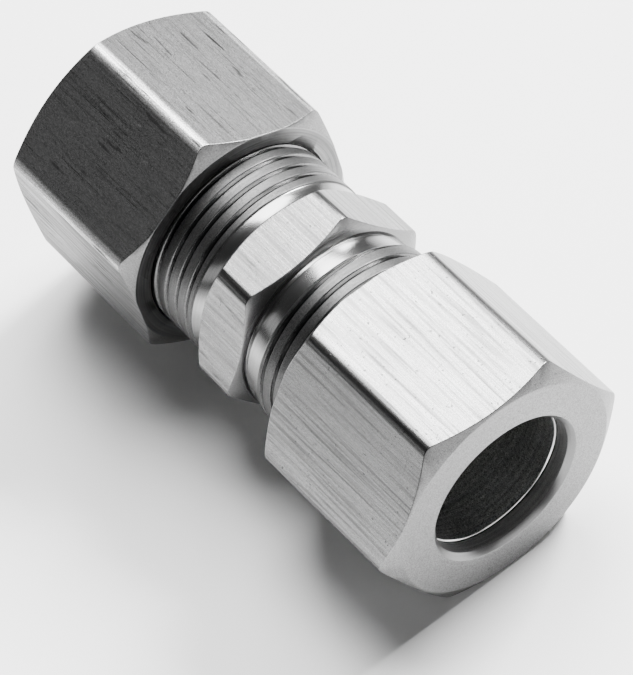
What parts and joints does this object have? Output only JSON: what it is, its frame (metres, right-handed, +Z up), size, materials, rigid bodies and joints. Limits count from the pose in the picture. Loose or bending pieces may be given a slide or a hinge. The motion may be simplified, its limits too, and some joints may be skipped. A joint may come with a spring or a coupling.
{
  "type": "compression tube coupler",
  "caption": "Straight compression coupler: threaded hexagonal body with a hex nut and a ferrule at each end, joining tubes end to end.",
  "frame": {"origin": "middle of the coupling's body, on the tube axis, which is the centre of the bounding box", "axes": "+X along the tube axis to the front end, which is the one shown open in the picture; +Z up, with a flat of the front nut on top"},
  "size_m": [0.049, 0.0234, 0.0234],
  "materials": {
    "body_metal": "turned and drawn bar, bright, lightly marked",
    "nut_metal": "drawn bar flats with lengthwise marks, turned end faces",
    "ferrule_metal": "turned, bright"
  },
  "bodies": {
    "body": {"coupling_body": "body_metal"},
    "front_ferrule": {"front_ferrule": "ferrule_metal"},
    "front_nut": {"front_nut": "nut_metal"},
    "rear_ferrule": {"rear_ferrule": "ferrule_metal"},
    "rear_nut": {"rear_nut": "nut_metal"}
  },
  "joints": [
    {"name": "front_nut_travel", "type": "slide", "parent": "body", "child": "front_ferrule", "axis": [1, 0, 0], "range_m": [-0.0016, 0.0056]},
    {"name": "front_nut_turn", "type": "hinge", "parent": "front_ferrule", "child": "front_nut", "pos_m": [0.01655, 0, 0], "axis": [1, 0, 0], "range_deg": [-450, 1584]},
    {"name": "rear_nut_travel", "type": "slide", "parent": "body", "child": "rear_ferrule", "axis": [-1, 0, 0], "range_m": [-0.0016, 0.0056]},
    {"name": "rear_nut_turn", "type": "hinge", "parent": "rear_ferrule", "child": "rear_nut", "pos_m": [-0.01655, 0, 0], "axis": [-1, 0, 0], "range_deg": [-450, 1584]}
  ],
  "couplings": [
    {"joint": "front_nut_travel", "follows": "front_nut_turn", "m_per_rad": 0.00020213},
    {"joint": "rear_nut_travel", "follows": "rear_nut_turn", "m_per_rad": 0.00020213}
  ]
}
